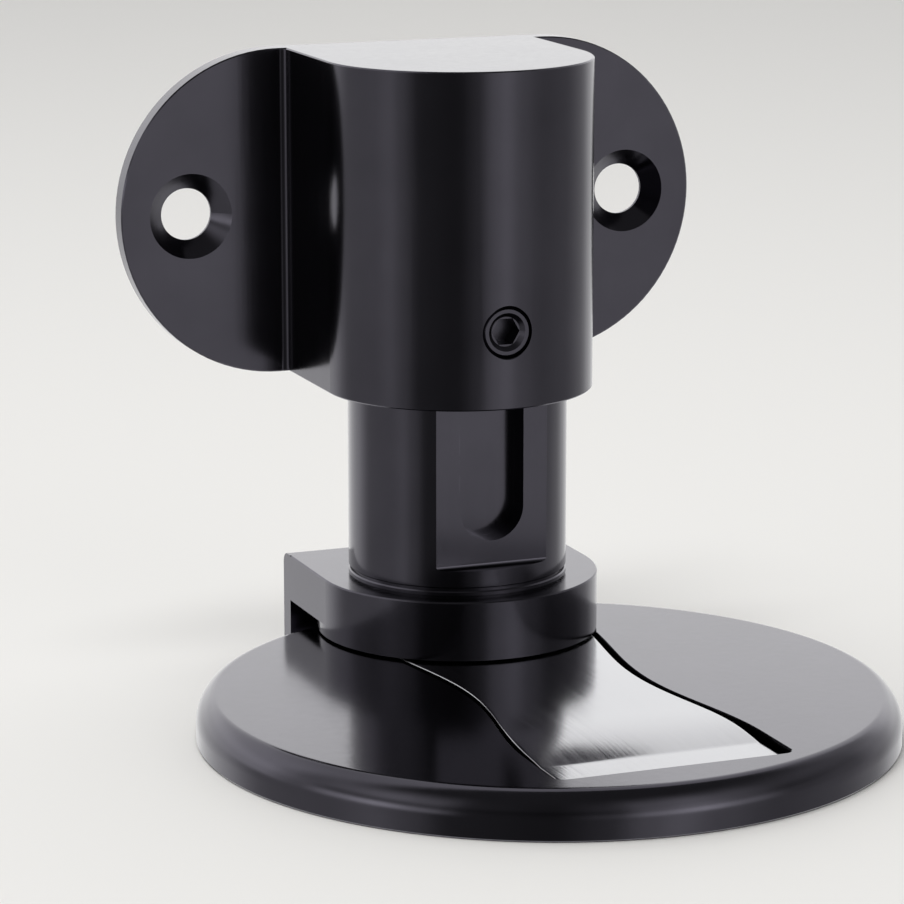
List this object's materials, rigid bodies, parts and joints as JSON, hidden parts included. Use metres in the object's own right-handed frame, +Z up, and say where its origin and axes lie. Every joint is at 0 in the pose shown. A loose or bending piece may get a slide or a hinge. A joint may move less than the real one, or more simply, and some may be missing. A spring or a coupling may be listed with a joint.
{
  "type": "magnetic floor door holder",
  "caption": "Magnetic door holder: round floor disc with a hinged catch tongue, and a door bracket whose height-adjustable post carries a magnet collar.",
  "frame": {"origin": "centre of the floor disc's underside, on the floor", "axes": "+Z up, +Y towards the door, X along the door's face"},
  "size_m": [0.08, 0.0865, 0.074],
  "materials": {
    "floor_plate": "satin black plating",
    "door_bracket": "satin black plating",
    "height_post": "satin black plating, turned",
    "catch_collar": "satin black plating",
    "catch_tongue": "brushed stainless steel",
    "set_screw": "black oxide steel",
    "plain_steel": "zinc plated steel",
    "magnet": "nickel plated",
    "rubber": "matt black rubber",
    "adhesive": "grey foam tape"
  },
  "bodies": {
    "floor_unit": {"floor_plate": "floor_plate", "floor_adhesive": "adhesive", "hinge_pin": "plain_steel", "tongue_rests": "rubber"},
    "tongue": {"catch_tongue": "catch_tongue"},
    "door_unit": {"door_bracket": "door_bracket", "door_adhesive": "adhesive"},
    "post_unit": {"height_post": "height_post", "catch_collar": "catch_collar", "magnet_cup": "plain_steel", "catch_magnet": "magnet", "collar_screw": "plain_steel", "collar_pin": "plain_steel", "bumper_pad": "rubber"},
    "set_screw_unit": {"set_screw": "set_screw"}
  },
  "joints": [
    {"name": "door_travel", "type": "slide", "parent": "floor_unit", "child": "door_unit", "axis": [0, 1, 0], "range_m": [0, 0.06]},
    {"name": "height_adjust", "type": "slide", "parent": "door_unit", "child": "post_unit", "axis": [0, 0, 1], "range_m": [0, 0.019]},
    {"name": "tongue_pivot", "type": "hinge", "parent": "floor_unit", "child": "tongue", "pos_m": [0, -0.03, 0.0029], "axis": [1, 0, 0], "range_deg": [-1.7, 0.2]},
    {"name": "set_screw_turn", "type": "hinge", "parent": "door_unit", "child": "set_screw_unit", "pos_m": [0, 0.0128, 0.044], "axis": [0, -1, 0], "range_deg": [0, 360]}
  ]
}
